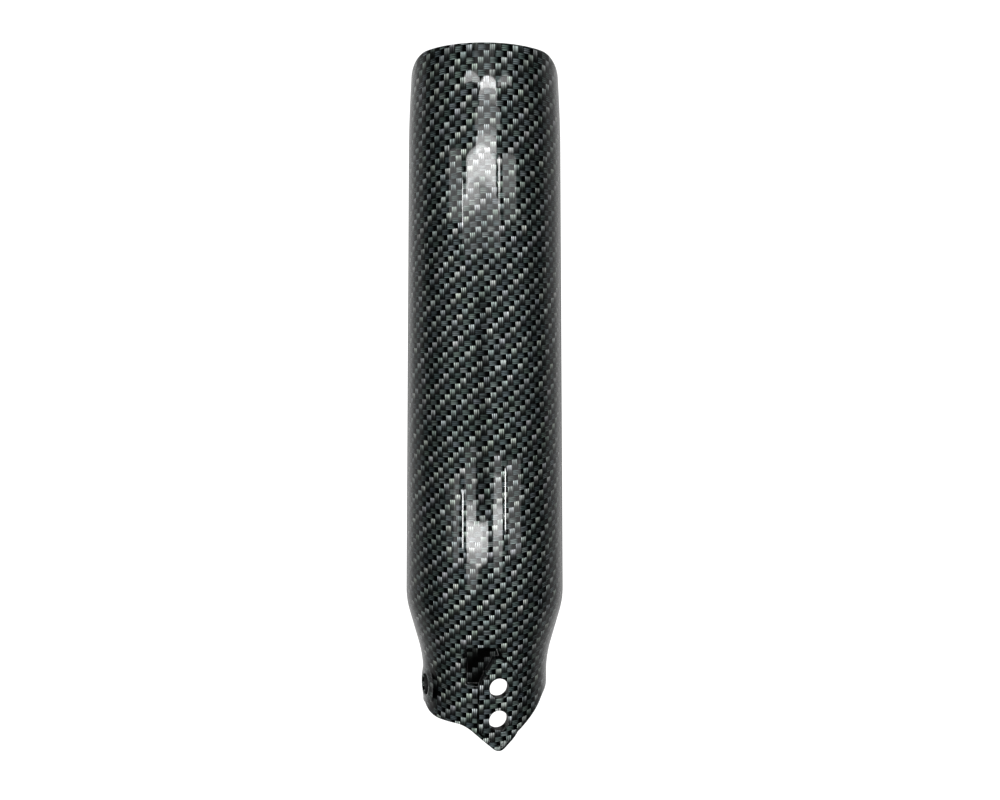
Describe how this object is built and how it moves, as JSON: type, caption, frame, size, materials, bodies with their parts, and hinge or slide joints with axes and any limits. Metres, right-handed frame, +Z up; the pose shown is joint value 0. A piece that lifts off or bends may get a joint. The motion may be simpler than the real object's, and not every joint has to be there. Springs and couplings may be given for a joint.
{
  "type": "motorcycle fork guard",
  "caption": "Half-shell guard for one leg of an upside-down motorcycle fork, open at the back, carbon-look outside, with a tapered pointed foot that bolts to the fork end.",
  "frame": {"origin": "on the fork leg's axis, level with the upper front bolt", "axes": "+Z up the fork leg's axis towards the round rim, -Y out of the guard's front, +X to the right seen from the front"},
  "size_m": [0.074, 0.0389, 0.3176],
  "materials": {
    "black_plastic": "black moulded plastic, satin on the inside and at the edges",
    "carbon_print": "printed twill carbon-look film in greys and black under a high-gloss clear lacquer"
  },
  "bodies": {
    "root": {"guard_shell": "black_plastic", "carbon_film": "carbon_print"}
  },
  "joints": []
}
